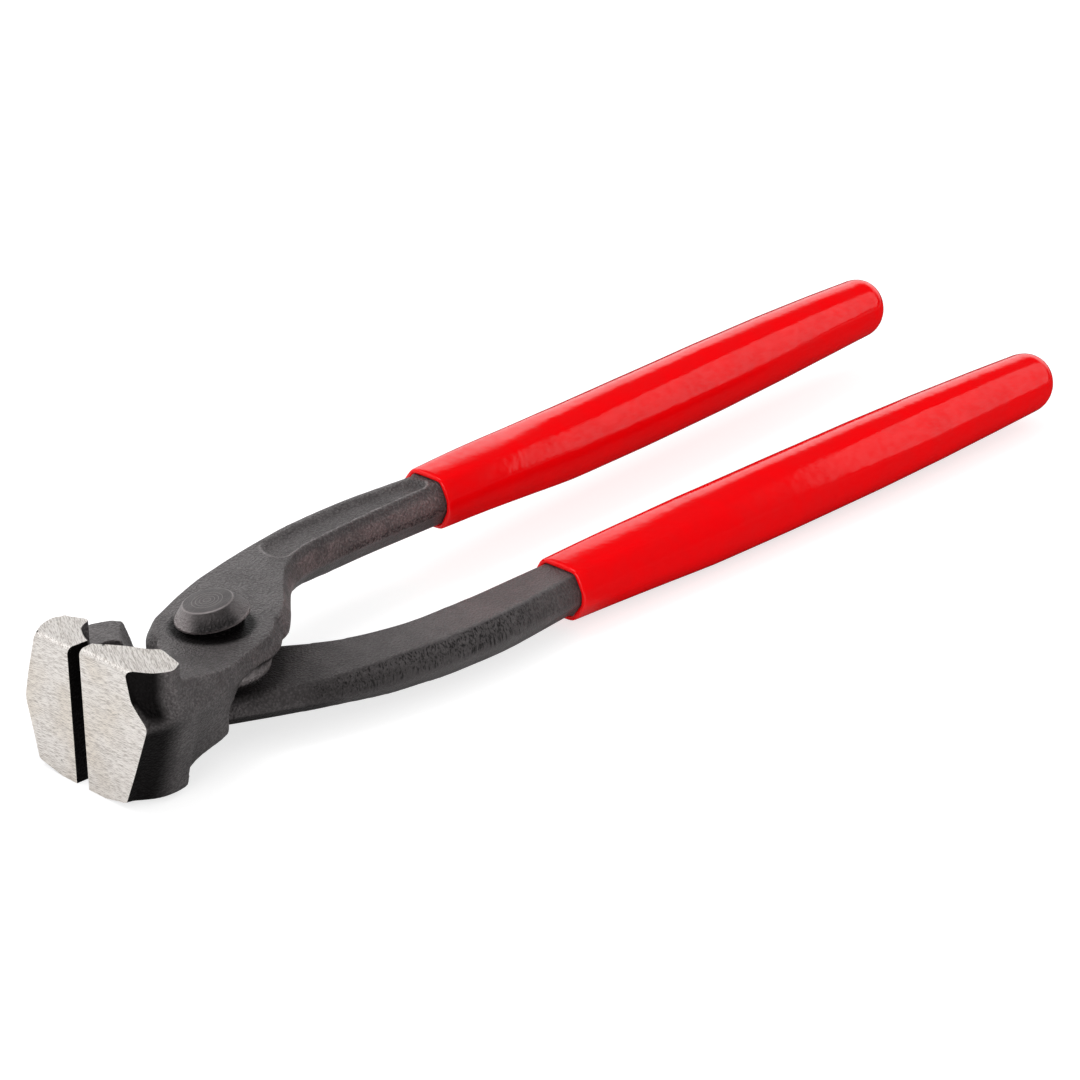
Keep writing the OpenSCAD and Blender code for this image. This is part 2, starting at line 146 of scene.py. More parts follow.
class RivetSettings(bpy.types.PropertyGroup):
    """Sizes and colour of the pivot rivet."""

    ring_pitch: FloatProperty(
        name="Ring pitch", description="Distance between the rings left by turning",
        default=0.0007, precision=5, unit="LENGTH")
    ring_count: IntProperty(
        name="Rings", description="Number of rings on the flat of the head", default=4, min=1, max=8)
    lean: FloatProperty(
        name="Lean", description="Turn by which the head was set askew", default=math.radians(9.5), subtype="ANGLE")
    slip: FloatProperty(
        name="Slip", description="Sideways shift of the flat against the rim of the head",
        default=0.00039, precision=5, unit="LENGTH")
    ring_width: FloatProperty(
        name="Ring width", description="Width of one ring", default=0.00022, precision=5, unit="LENGTH")
    color: FloatVectorProperty(
        name="Turned steel", description="Colour of the blackened rivet",
        subtype="COLOR", size=4, default=(0.022, 0.0190, 0.0190, 1))


class SleeveSettings(bpy.types.PropertyGroup):
    """Sizes and colour of the dipped sleeves."""

    sides: IntProperty(name="Sides", description="Points round a sleeve", default=72, min=24, max=128)
    wall: FloatProperty(
        name="Wall", description="Thickness of the sleeve at its mouth",
        default=0.00115, precision=5, unit="LENGTH")
    bow: FloatProperty(
        name="Bow", description="Sag of the upper half's sleeve between its ends",
        default=0.00095, precision=5, unit="LENGTH")
    color: FloatVectorProperty(
        name="Plastic", description="Colour of the dipped plastic",
        subtype="COLOR", size=4, default=(0.88, 0.0006, 0.0026, 1))


class StageSettings(bpy.types.PropertyGroup):
    """Camera and lamps."""

    azimuth: FloatProperty(
        name="Azimuth", description="Camera's direction round the tool, 0 looking along +Y",
        default=math.radians(-46.41), subtype="ANGLE")
    elevation: FloatProperty(
        name="Elevation", description="Camera's height above the horizon",
        default=math.radians(24.88), subtype="ANGLE")
    roll: FloatProperty(
        name="Roll", description="Camera's turn about its own axis", default=math.radians(-0.35), subtype="ANGLE")
    distance: FloatProperty(
        name="Distance", description="Camera's distance from the aim point", default=0.6244, unit="LENGTH")
    lens: FloatProperty(name="Lens", description="Focal length in millimetres", default=105.86)
    key: FloatProperty(
        name="Left panel", description="Power of the panel on the jaws' side", default=3.7, unit="POWER")
    side: FloatProperty(
        name="Right panel", description="Power of the panel on the handles' side", default=0.47, unit="POWER")
    top: FloatProperty(name="Top panel", description="Power of the panel overhead", default=2.6, unit="POWER")


# Node trees

def feed(tree, node, **sockets):
    """Links or sets a node's inputs. An input is named by its label, or by _0, _1 and so on for its place."""
    for key, value in sockets.items():
        socket = node.inputs[int(key[1:])] if key[1:].isdigit() else node.inputs[key.replace("_", " ")]
        if isinstance(value, bpy.types.NodeSocket):
            tree.links.new(value, socket)
        else:
            socket.default_value = value


def put(tree, kind, props=None, **sockets):
    """Adds a node with its properties and inputs."""
    node = tree.nodes.new(kind)
    for key, value in (props or {}).items():
        setattr(node, key, value)
    feed(tree, node, **sockets)
    return node


def calc(tree, operation, *values):
    """Result of a math node on values or sockets."""
    sockets = {"_%d" % i: value for i, value in enumerate(values)}
    return put(tree, "ShaderNodeMath", {"operation": operation}, **sockets).outputs[0]


def times(tree, product, *others):
    """Product of values or sockets."""
    for other in others:
        product = calc(tree, "MULTIPLY", product, other)
    return product


def largest(tree, result, *others):
    """Largest of values or sockets."""
    for other in others:
        result = calc(tree, "MAXIMUM", result, other)
    return result


def scaled(tree, value, factor, offset):
    """Value times a factor, plus an offset."""
    return calc(tree, "MULTIPLY_ADD", value, factor, offset)


def span(tree, value, low, high, to_low=0.0, to_high=1.0):
    """Value mapped smoothly from one range to another."""
    return put(tree, "ShaderNodeMapRange", {"interpolation_type": "SMOOTHSTEP"}, Value=value,
               From_Min=low, From_Max=high, To_Min=to_low, To_Max=to_high).outputs["Result"]


def blend(tree, share, first, second):
    """Colour between two colours."""
    return put(tree, "ShaderNodeMix", {"data_type": "RGBA"}, _0=share, _6=first, _7=second).outputs[2]


def noise(tree, coords, scale, detail, roughness=0.5):
    """Cloudy pattern from 0 to 1."""
    return put(tree, "ShaderNodeTexNoise", Vector=coords, Scale=scale, Detail=detail, Roughness=roughness).outputs[0]


def attributes(tree, *names):
    """Floats on the points of a mesh, by name."""
    return [put(tree, "ShaderNodeAttribute", {"attribute_name": name}).outputs["Fac"] for name in names]


def tinted(color, *factors):
    """Colour times one factor, or times one each for red, green and blue."""
    return tuple(min(1, c * f) for c, f in zip(color[:3], factors * 3)) + (1,)


def new_group(name, inputs, outputs):
    """Empty shader group, its inputs' sockets and its output node. An input without a default is a vector."""
    group = bpy.data.node_groups.new(name, "ShaderNodeTree")
    for label, default in inputs.items():
        kind = "NodeSocketVector" if default is None else "NodeSocketFloat"
        socket = group.interface.new_socket(name=label, in_out="INPUT", socket_type=kind)
        if default is not None:
            socket.default_value = default
    for label in outputs:
        group.interface.new_socket(name=label, in_out="OUTPUT", socket_type="NodeSocketFloat")
    return group, group.nodes.new("NodeGroupInput").outputs, group.nodes.new("NodeGroupOutput")


def pebble_group():
    """Pebbled skin: rounded grains of one size on a slower swell."""
    group, given, result = new_group(
        "pebbled_skin", {"Vector": None, "Grain": 0.0006, "Swell": 0.004}, ["Height", "Grain", "Patch"])
    scale, slow = (calc(group, "DIVIDE", 1.0, given[size]) for size in ("Grain", "Swell"))
    cells = put(group, "ShaderNodeTexVoronoi", {"feature": "SMOOTH_F1"},
                Vector=given["Vector"], Scale=scale, Smoothness=0.8)
    fine = noise(group, given["Vector"], times(group, scale, 1.3), 3.0, 0.55)
    swell = noise(group, given["Vector"], slow, 2.0)
    grains = scaled(group, cells.outputs["Distance"], -0.6, fine)
    feed(group, result, Height=scaled(group, swell, 0.7, grains), Grain=grains,
         Patch=span(group, swell, 0.38, 0.62))
    return group


def stroke_group():
    """Thin strokes along one direction, as a grinding belt or a trimming die leaves them."""
    group, given, result = new_group(
        "strokes", {"Vector": None, "Turn": None, "Length": 0.012, "Width": 0.0003}, ["Height", "Deep"])
    turned = put(group, "ShaderNodeVectorRotate", {"rotation_type": "EULER_XYZ"},
                 Vector=given["Vector"], Rotation=given["Turn"])
    along, across = (calc(group, "DIVIDE", 1.0, given[size]) for size in ("Length", "Width"))
    stretch = put(group, "ShaderNodeCombineXYZ", X=along, Y=across, Z=across)
    coords = put(group, "ShaderNodeVectorMath", {"operation": "MULTIPLY"},
                 _0=turned.outputs[0], _1=stretch.outputs[0]).outputs[0]
    lines, broad = noise(group, coords, 1.0, 4.0, 0.62), noise(group, coords, 0.31, 2.0)
    height = scaled(group, broad, 0.25, lines)
    feed(group, result, Height=height, Deep=span(group, height, 0.69, 0.50))
    return group


GROUPS = {}


def use_group(tree, maker, **sockets):
    """Outputs of a shader group, which is made the first time."""
    if maker not in GROUPS:
        GROUPS[maker] = maker()
    return put(tree, "ShaderNodeGroup", {"node_tree": GROUPS[maker]}, **sockets).outputs


def new_material(name):
    """Material with a Principled shader, and its tree, shader and object coordinates."""
    material = bpy.data.materials.new(name)
    material.use_nodes = True
    tree = material.node_tree
    coords = put(tree, "ShaderNodeTexCoord").outputs["Object"]
    return material, tree, tree.nodes["Principled BSDF"], coords


def bump(tree, shader, height, depth, strength=1.0, under=None):
    """Bump from a height that is one unit for depth metres, on top of another bump if there is one."""
    node = put(tree, "ShaderNodeBump", Strength=strength, Distance=depth, Height=height)
    if under is not None:
        tree.links.new(under, node.inputs["Normal"])
    tree.links.new(node.outputs[0], shader.inputs["Normal"])
    return node.outputs[0]


def forged_skin(color):
    """Black forged skin: pebbled, with a struck band, a trimmed line, rust, painted shade, and lighter edges that
    are partly wear and partly painted highlight.
    """
    material, tree, shader, coords = new_material("forged_skin")
    trim, flash, edge, painted_shade, rust, grain = attributes(tree, "trim", "flash", "edge", "painted_shade", "rust", "grain")
    skin = use_group(tree, pebble_group, Vector=coords, Grain=0.0005, Swell=0.006)
    struck = use_group(tree, stroke_group, Vector=coords, Turn=(0.0, math.radians(90), 0.0),
                       Length=0.0019, Width=0.00032)
    patch = skin["Patch"]
    speck = scaled(tree, span(tree, skin["Grain"], 0.08, 0.52, -0.28, 0.28), grain, 1.0)
    # Lighter edges: partly wear, partly painted highlight.
    rusty, rubbed_and_lit = tinted(color, 2.6, 2.05, 2.02), tinted(color, 6.0)
    shade = blend(tree, times(tree, patch, 0.7), color, tinted(color, 1.25))
    shade = blend(tree, times(tree, rust, scaled(tree, patch, 0.5, 0.5)), shade, rusty)
    shade = blend(tree, times(tree, edge, 0.6), shade, rubbed_and_lit)
    blotch = noise(tree, coords, 2200.0, 3.0, 0.6)
    scale = times(tree, flash, span(tree, blotch, 0.38, 0.62, 0.1, 0.75))
    pricked = times(tree, trim, times(tree, struck["Deep"], 0.85))
    # Dark: flash blotches, trimmed pricks and the painted shade, which also lowers the gloss.
    dark = largest(tree, scale, pricked, painted_shade)
    shade = put(tree, "ShaderNodeVectorMath", {"operation": "SCALE"}, _0=shade, Scale=speck).outputs[0]
    gloss = scaled(tree, trim, 0.06, scaled(tree, patch, -0.07, 0.46))
    level = times(tree, scaled(tree, edge, 0.25, 0.5), speck)
    feed(tree, shader, Base_Color=blend(tree, dark, shade, SKIN_PAINTED_SHADE),
         Roughness=scaled(tree, edge, -0.12, gloss), IOR=STEEL_IOR, Specular_Tint=STEEL_TINT,
         Specular_IOR_Level=times(tree, level, scaled(tree, dark, -0.92, 1.0)))
    pebbles = times(tree, skin["Height"], scaled(tree, painted_shade, -0.6, 1.0), grain)
    first = bump(tree, shader, pebbles, 0.00052)
    bump(tree, shader, times(tree, struck["Height"], trim), 0.0006, 0.9, under=first)
    return material


def ground_steel(color):
    """Ground faces: fine strokes along the front, steeper ones on the lips, and a few dark pits."""
    material, tree, shader, coords = new_material("ground_steel")
    normal = put(tree, "ShaderNodeSeparateXYZ", Vector=put(tree, "ShaderNodeNewGeometry").outputs["Normal"])
    lip = span(tree, normal.outputs["Z"], 0.35, 0.65)
    front = use_group(tree, stroke_group, Vector=coords, Turn=(math.radians(4), 0.0, math.radians(-90)),
                      Length=0.0015, Width=0.00013)
    side = use_group(tree, stroke_group, Vector=coords, Turn=(0.0, 0.0, math.radians(-60.5)),
                     Length=0.0017, Width=0.00014)
    height, deep = (put(tree, "ShaderNodeMix", {"data_type": "FLOAT"}, _0=lip, _2=front[name],
                        _3=side[name]).outputs[0] for name in ("Height", "Deep"))
    pits = put(tree, "ShaderNodeTexVoronoi", {"feature": "F1"}, Vector=coords, Scale=420.0).outputs["Distance"]
    rare = noise(tree, coords, 160.0, 1.0)
    pit = times(tree, span(tree, pits, 0.16, 0.07), span(tree, rare, 0.55, 0.65))
    cloud = noise(tree, coords, 90.0, 2.0)
    shade = blend(tree, span(tree, cloud, 0.4, 0.65), color, tinted(color, 0.94, 0.91, 0.86))
    shade = blend(tree, lip, shade, tinted(color, 0.99))
    shade = blend(tree, times(tree, deep, 0.85), shade, tinted(color, 0.50, 0.47, 0.45))
    feed(tree, shader, Base_Color=blend(tree, pit, shade, PIT),
         Roughness=scaled(tree, deep, 0.14, 0.36), Metallic=1.0)
    bump(tree, shader, calc(tree, "SUBTRACT", height, pit), 0.00006, 0.9)
    return material


def turned_skin(color):
    """Blackened turned steel: smoother than the forging, mottled on the cone, with painted shade under the head and
    on the cone's front, and painted highlights on its rims, rings and the cone's left side.
    """
    material, tree, shader, coords = new_material("turned_skin")
    skin = use_group(tree, pebble_group, Vector=coords, Grain=0.0005, Swell=0.003)
    edge, painted_shade, cone = attributes(tree, "edge", "painted_shade", "cone")
    rings = put(tree, "ShaderNodeTexWave", {"wave_type": "RINGS", "rings_direction": "Z"},
                Vector=coords, Scale=900.0, Distortion=1.2, Detail=2.0)
    shade = blend(tree, skin["Patch"], color, tinted(color, 1.6))
    # Painted highlights on the rims, the rings and the cone's left side.
    shade = blend(tree, times(tree, edge, 0.8), shade, tinted(color, 12.0))
    # Painted shade under the head and on the cone's front, broken up by the grain.
    painted_shade = times(tree, painted_shade, span(tree, skin["Grain"], 0.5, 0.2, 0.72, 1.0))
    gloss = scaled(tree, skin["Patch"], -0.06, 0.44)
    level = scaled(tree, edge, 0.4, 0.5)
    feed(tree, shader, Base_Color=blend(tree, painted_shade, shade, RIVET_PAINTED_SHADE),
         Roughness=scaled(tree, edge, -0.14, gloss), IOR=STEEL_IOR, Specular_Tint=STEEL_TINT,
         Specular_IOR_Level=scaled(tree, painted_shade, -0.46, level))
    rough = times(tree, skin["Height"], scaled(tree, cone, 0.85, 0.15))
    first = bump(tree, shader, rough, 0.00045, 0.9)
    bump(tree, shader, rings.outputs["Fac"], 0.00003, 0.35, under=first)
    return material


def dipped_plastic(color):
    """Glossy dipped plastic: an even colour under a slightly wavy, mottled gloss."""
    material, tree, shader, coords = new_material("dipped_plastic")
    patch = use_group(tree, pebble_group, Vector=coords, Grain=0.004, Swell=0.008)["Patch"]
    film = noise(tree, coords, 600.0, 3.0, 0.6)
    feed(tree, shader, Base_Color=blend(tree, patch, color, tinted(color, 0.95)),
         Roughness=scaled(tree, patch, 0.04, 0.095), IOR=1.46,
         Specular_IOR_Level=span(tree, film, 0.34, 0.62, 0.27, 0.46))
    bump(tree, shader, noise(tree, coords, 360.0, 2.0), 0.00005)
    return material


# Meshes

def linked(name, data):
    """New object in the scene."""
    thing = bpy.data.objects.new(name, data)
    bpy.context.scene.collection.objects.link(thing)
    return thing


def baked(carrier):
    """Mesh of an object with its modifier applied, in place of the object."""
    mesh = bpy.data.meshes.new_from_object(carrier.evaluated_get(bpy.context.evaluated_depsgraph_get()))
    bpy.data.objects.remove(carrier)
    return mesh


def new_piece(name, mesh, finishes, body, slot, *nodes):
    """Object for a finished mesh that rides on a body and stands for CAD nodes."""
    piece = linked(name, mesh)
    for finish in finishes:
        mesh.materials.append(finish)
    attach(piece, body)
    if nodes:
        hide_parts(*nodes)


def smooth_mesh(work, name):
    """Mesh with smooth faces from a finished bmesh."""
    for face in work.faces:
        face.smooth = True
    mesh = bpy.data.meshes.new(name)
    work.to_mesh(mesh)
    work.free()
    return mesh


def set_attribute(mesh, name, values):
    """Float on each point of a mesh, for its material to read."""
    attribute = mesh.attributes.new(name, "FLOAT", "POINT")
    attribute.data.foreach_set("value", np.asarray(values, np.float32))


def points_and_normals(mesh):
    """Positions and normals of a mesh's points, as arrays."""
    arrays = []
    for name in ("co", "normal"):
        values = np.empty(len(mesh.vertices) * 3, np.float32)
        mesh.vertices.foreach_get(name, values)
        arrays.append(values.reshape(-1, 3).astype(float))
    return arrays


def ramp(values, low, high):
    """Smooth step from 0 at low to 1 at high."""
    t = np.clip((np.asarray(values) - low) / (high - low), 0, 1)
    return t * t * (3 - 2 * t)


def within(values, start, full, fade, end):
    """Smooth step from 0 at start to 1 at full, and back from 1 at fade to 0 at end."""
    return ramp(values, start, full) * ramp(-values, -end, -fade)


def ridge(values, width):
    """Smooth ridge of 1 at 0, which fades over a width on both sides."""
    return np.exp(-(values / width) ** 2)


def in_millimetres(places):
    """X, Y and height above the lap plane."""
    return places[:, 0] / MM, places[:, 1] / MM, (places[:, 2] - LAP_Z) / MM


def sharpness(mesh, places, normals, step):
    """How far each point stands proud of its neighbours, from 0 on flats to 1 on sharp convex edges."""
    ends = np.empty(len(mesh.edges) * 2, np.int32)
    mesh.edges.foreach_get("vertices", ends)
    ends = ends.reshape(-1, 2)
    around, count = np.zeros_like(places), np.zeros(len(places))
    for a, b in ((0, 1), (1, 0)):
        np.add.at(around, ends[:, a], places[ends[:, b]])
        np.add.at(count, ends[:, a], 1)
    rise = ((places - around / np.maximum(count, 1)[:, None]) * normals).sum(1) / step
    return ramp(rise, 0.05, 0.22)


def remeshed(mesh, step):
    """Even skin over a closed mesh."""
    block = linked("blank", mesh)
    skin = block.modifiers.new("skin", "REMESH")
    skin.mode, skin.voxel_size, skin.adaptivity = "VOXEL", step, 0.0
    return baked(block)


def grind(work, point, normal, finish, reach=None):
    """Cuts off what stands beyond a plane and closes the cut with a face. reach tells which faces it may cut."""
    faces = [f for f in work.faces if reach is None or reach(f.calc_center_median())]
    edges = {e for f in faces for e in f.edges}
    verts = {v for f in faces for v in f.verts}
    cut = bmesh.ops.bisect_plane(work, geom=list(verts) + list(edges) + faces, dist=1e-7,
                                 plane_co=point, plane_no=normal, clear_outer=True)
    rim = [e for e in cut["geom_cut"] if isinstance(e, bmesh.types.BMEdge) and e.is_boundary]
    if not rim:
        raise RuntimeError("a grinding plane misses the forging")
    made = bmesh.ops.contextual_create(work, geom=rim, mat_nr=finish)
    for face in made["faces"]:
        face.material_index = finish
        face.normal_update()
        if face.normal.dot(normal) < 0:
            face.normal_flip()


def bands(places, normals, lap_side):
    """Shares of the struck band, of the dark trimmed line and of the rust on the sides of a half's lever."""
    x, y, z = in_millimetres(places)
    upright = 1 - np.abs(normals[:, 2])
    if lap_side < 0:
        along = within(x, 4, 10, 68, 75) * (1 - 0.6 * ramp(x, 46, 68))
        none = np.zeros(len(places))
        return along * ramp(upright, 0.15, 0.35) * within(-z, -0.6, 0.2, 3.8, 5.0), none, none
    along = within(x, 15, 25, 68, 75)
    slope = along * ramp(upright, 0.2, 0.5) * within(z, 2.2, 3.2, 6.2, 7.6)
    line = along * ramp(x, 34, 48) * ramp(upright, 0.45, 0.8) * within(z, 2.2, 2.8, 3.9, 4.8)
    disc = ramp(np.hypot(x, y), 11.5, 13) * within(x, -4, 2, 14, 22) * ramp(upright, 0.08, 0.3) * ramp(z, 2, 3.5)
    return 0.3 * slope, line, np.maximum(slope, 0.6 * disc)


def grains(places, lap_side):
    """How pebbly the skin is: fully on the upper half but for its lever's lower draft, less on the lower half."""
    x, _, z = in_millimetres(places)
    if lap_side < 0:
        return 0.45 + 0.45 * ramp(-x, -26, -10)
    return 1 - 0.6 * ramp(x, 14, 22) * ramp(-z, -3.2, -2.4)


def painted_shade_share(places, normals, side):
    """Share of painted shade: black on the jaws' hollows and cheeks, on what faces the floor, in corners at the
    joint, along the lower lever, and a painted shadow round the rivet's head.
    """
    x, y, z = in_millimetres(places)
    # Painted shade: black on the jaws' hollows and cheeks where they face outwards, and on what faces the floor,
    # more towards the jaws.
    outward = ramp(side * normals[:, 1], -0.2, 0.2) * ramp(-normals[:, 2], -0.85, -0.6)
    hollow = ramp(-x, 25.8, 28.4) * ramp(z, 4.5, 8)
    cheek = ramp(-x, 20.5, 28.0) * ramp(-z, -8, -4.5)
    under = ramp(-normals[:, 2], 0.05, 0.6) * (0.25 + 0.6 * ramp(-x, -20, -8))
    painted_shade = np.maximum(outward * np.maximum(hollow, cheek), under)
    # Painted shadow of the rivet's head on the upper disc.
    if side < 0:
        head = np.hypot(x + 0.72, y + 0.55)
        return np.maximum(painted_shade, 0.97 * ramp(-head, -8.7, -7.2) * ramp(z, 7.5, 8.2))
    # Painted shade on the lower half: round the lap face, at the lever's root beside the upper disc, and darker
    # along the lever.
    lap = 0.7 * ramp(-np.hypot(x, y), -15.0, -11.5) * within(z, -2.5, -1.5, 0, 2)
    root = 0.45 * within(x, -6, 0, 11, 20) * ramp(-y, 0, 4) * within(z, -5.4, -4.0, 0, 2)
    dim = 0.3 * within(x, -4, 4, 14, 48) + 0.22 * within(x, -4, 4, 46, 66) * ramp(-z, 1.2, 2.4)
    return np.maximum.reduce([painted_shade, lap, root, dim])


def wear_and_highlight(mesh, places, normals, rim, step):
    """Share of lighter skin: wear on sharp edges, painted highlights on the boss's ledge, the panel's rim and the
    far jaw's top, and a faint lighter strip below the panel.
    """
    x, y, z = in_millimetres(places)
    edge = sharpness(mesh, places, normals, step)
    if rim is None:
        # Far jaw: wear on edges and a painted highlight on its top.
        return np.maximum(edge, 0.12 * ramp(-x, 13, 16) * ramp(normals[:, 2], 0.3, 0.7))
    # Painted highlight on the boss's ledge; the strip below the panel is a faint lighter band.
    ledge = within(np.hypot(x, y), 9.0, 9.6, 10.4, 10.9) * ramp(-z, -2.5, -2.0) * ramp(normals[:, 2], -0.7, -0.2)
    strip = 0.1 * ramp(x, 20, 30) * ramp(z, 5.8, 7.0) * ramp(1 - np.abs(normals[:, 2]), 0.2, 0.5)
    inset = panel_inset(places, rim)
    edge = np.maximum.reduce([edge, ledge, strip]) * (1 - ramp(inset, -1.4 * MM, -0.8 * MM))
    # Painted highlight on the panel's rim, on its near side and at its front end.
    lit = np.maximum(near_side(places, rim), 0.6 * ramp(-places[:, 0], -rim[0, 0] - 3 * MM, -rim[0, 0]))
    return np.maximum(edge, 0.9 * lit * ridge(inset + 0.1 * MM, 0.25 * MM))


def panel_rim(work):
    """Rim of the panel in a solid: X with near and far edge. The panel's floor is raised level with the lever."""
    floor = [v for v in work.verts if PANEL_START < v.co.x < MOUTH_X and PANEL_LOW < v.co.z < PANEL_HIGH]
    if not floor:
        raise RuntimeError("the upper half's solid has no panel")
    level = max(v.co.z for v in work.verts if LEVEL_START < v.co.x < MOUTH_X)
    edges = {}
    for vert in floor:
        edges.setdefault(round(vert.co.x, 6), []).append(vert.co.y)
        vert.co.z = level
    return np.array([(x, min(ys), max(ys)) for x, ys in sorted(edges.items())])


def panel_inset(places, rim):
    """How far points lie inside the panel's rim, seen from above, and below 0 how far outside."""
    loop = np.concatenate([rim[:, :2], rim[::-1, [0, 2]]])
    dense = np.concatenate([loop + (np.roll(loop, -1, 0) - loop) * t for t in np.arange(0, 1, 0.1)])
    inset = np.full(len(places), -1.0)
    x, y, z = places.T
    near, far = np.interp(x, rim[:, 0], rim[:, 1]), np.interp(x, rim[:, 0], rim[:, 2])
    margin = 2 * MM
    ahead = (x > rim[0, 0] - margin) & (x < rim[-1, 0] + margin) & (z > PANEL_LOW - 0.5 * MM)
    picked = np.nonzero(ahead & (y > near - margin) & (y < far + margin))[0]
    for part in np.array_split(picked, max(1, len(picked) // 2000)):
        gap = np.hypot(x[part, None] - dense[None, :, 0], y[part, None] - dense[None, :, 1]).min(1)
        inside = (x[part] > rim[0, 0]) & (x[part] < rim[-1, 0]) & (y[part] > near[part]) & (y[part] < far[part])
        inset[part] = np.where(inside, gap, -gap)
    return inset


def near_side(places, rim):
    """1 on the panel's near half and 0 on its far half, seen from above."""
    return ramp(np.interp(places[:, 0], rim[:, 0], rim[:, 1:].mean(1)) - places[:, 1], -0.3 * MM, 0.7 * MM)


def lift_shoulder(work, settings):
    """Raises the disc's underside off the lap plane at the front, so that the bearing boss in its middle shows."""
    boss, edge, top = 9.9 * MM, 19 * MM, 5.5 * MM
    for vert in work.verts:
        radius, height = math.hypot(vert.co.x, vert.co.y), vert.co.z - LAP_Z
        if boss < radius < edge and height < top:
            ahead = (AHEAD_WAY[0] * vert.co.x + AHEAD_WAY[1] * vert.co.y) / radius
            share = ramp(radius, boss, 10.5 * MM) * ramp(ahead, 0.35, 0.7) * ramp(-height, -top, -0.8 * MM)
            vert.co.z += settings.boss * float(share)


def press_panel(work, rim, settings):
    """Presses the panel into the softened skin, with a slight lip at its near rim and a softer far wall."""
    verts = [v for v in work.verts if v.normal.z > 0.25]
    places = np.array([v.co for v in verts])
    inset = panel_inset(places, rim)
    near = near_side(places, rim)
    wall = settings.panel_wall * (1 + 1.2 * (1 - near))
    drop = settings.panel_depth * ramp(inset, -0.1 * MM, wall)
    lip = 0.12 * MM * near * ridge(inset + 0.12 * MM, 0.3 * MM)
    for vert, change in zip(verts, lip - drop):
        vert.co.z += change


def forged_half(node, body, side, lap_side, finishes, settings):
    """Forged half made from its solid: soft skin all over, then crisp ground faces.

    side is -1 for the jaw at -Y and 1 for the one at +Y, lap_side is 1 for the half above the lap plane."""
    label = "near" if side < 0 else "far"
    reach = -MOUNTS["near_jaw_face"]["pos_m"][0]
    turn = math.asin(settings.gap / 2 / reach)
    front = (Vector(MOUNTS[label + "_jaw_face"]["pos_m"]), Vector((-1, 0, 0)))
    lip = (Vector(MOUNTS[label + "_lip"]["pos_m"]), Vector((0, 0, 1)))
    gap = (Vector((0, 0, 0)), Vector((-math.sin(turn), -side * math.cos(turn), 0)))

    def at_gap(place):
        return place.x < -0.72 * reach and abs(place.y) < GAP_HALF

    work = bmesh.new()
    work.from_mesh(frame["nodes"][node].data)
    bmesh.ops.remove_doubles(work, verts=work.verts, dist=WELD)
    for vert in work.verts:
        place, shift = vert.co.copy(), Vector()
        for point, normal in (front, lip, gap):
            if abs((place - point).dot(normal)) < ON_FACE and place.x < -0.6 * reach:
                shift += normal * settings.proud
        vert.co = place + shift
    rim = panel_rim(work) if lap_side > 0 else None
    blank = bpy.data.meshes.new(node + "_blank")
    work.to_mesh(blank)
    skin = remeshed(blank, settings.voxel)

    work.clear()
    work.from_mesh(skin)
    for _ in range(settings.soften):
        bmesh.ops.smooth_vert(work, verts=work.verts, factor=0.5, use_axis_x=True, use_axis_y=True, use_axis_z=True)
    if rim is not None:
        work.normal_update()
        lift_shoulder(work, settings)
        press_panel(work, rim, settings)
    grind(work, *gap, FORGED, at_gap)
    grind(work, *front, GROUND)
    grind(work, *lip, GROUND)
    centre = Vector((front[0].x + settings.brow_round, 0, lip[0].z - settings.brow_round))
    for angle in BROW_CUTS:
        tilt = Vector((-math.cos(angle), 0, math.sin(angle)))
        grind(work, centre + tilt * settings.brow_round, tilt, GROUND)
    for edge in work.edges:
        met = {f.material_index for f in edge.link_faces}
        if GROUND in met or edge.calc_face_angle(0) > CRISP_FOLD:
            edge.smooth = False
    mesh = smooth_mesh(work, node + "_forging")
    places, normals = points_and_normals(mesh)
    set_attribute(mesh, "edge", wear_and_highlight(mesh, places, normals, rim, settings.voxel))
    set_attribute(mesh, "grain", grains(places, lap_side))
    for name, share in zip(("trim", "flash", "rust"), bands(places, normals, lap_side)):
        set_attribute(mesh, name, share)
    # Painted shade: black on the faces cut at the jaws' gap.
    inside = (np.abs(places @ np.array(gap[1])) < 0.3 * MM) & (places[:, 0] < -0.7 * reach)
    set_attribute(mesh, "painted_shade", np.maximum(painted_shade_share(places, normals, side), inside))
    new_piece(node + "_forging", mesh, finishes, body, "forged_steel", node)


def lathe(name, profile, sides=96):
    """Mesh turned about Z from a profile of radius and height, closed where the radius is 0."""
    work = bmesh.new()
    rings = []
    for radius, height in profile:
        turns = [2 * math.pi * k / sides for k in range(sides)] if radius else [0.0]
        rings.append([work.verts.new((radius * math.cos(t), radius * math.sin(t), height)) for t in turns])
    for low, high in zip(rings, rings[1:]):
        for k in range(sides):
            n = (k + 1) % sides
            if len(low) == 1:
                work.faces.new((low[0], high[k], high[n]))
            elif len(high) == 1:
                work.faces.new((low[k], high[0], low[n]))
            else:
                work.faces.new((low[k], high[k], high[n], low[n]))
    bmesh.ops.recalc_face_normals(work, faces=work.faces)
    return smooth_mesh(work, name)


def rounded(corners, steps=5):
    """Profile with each corner replaced by an arc-like curve of its own radius."""
    points = [corners[0][:2]]
    for before, (r, z, radius), after in zip(corners, corners[1:], corners[2:]):
        corner = Vector((r, z))
        ends = []
        for other in (before, after):
            way = Vector(other[:2]) - corner
            ends.append(corner + way.normalized() * min(radius, 0.45 * way.length))
        for k in range(steps + 1):
            t = k / steps
            mixed = ends[0] * (1 - t) ** 2 + corner * 2 * t * (1 - t) + ends[1] * t ** 2
            points.append((mixed.x, mixed.y))
    points.append(corners[-1][:2])
    return points


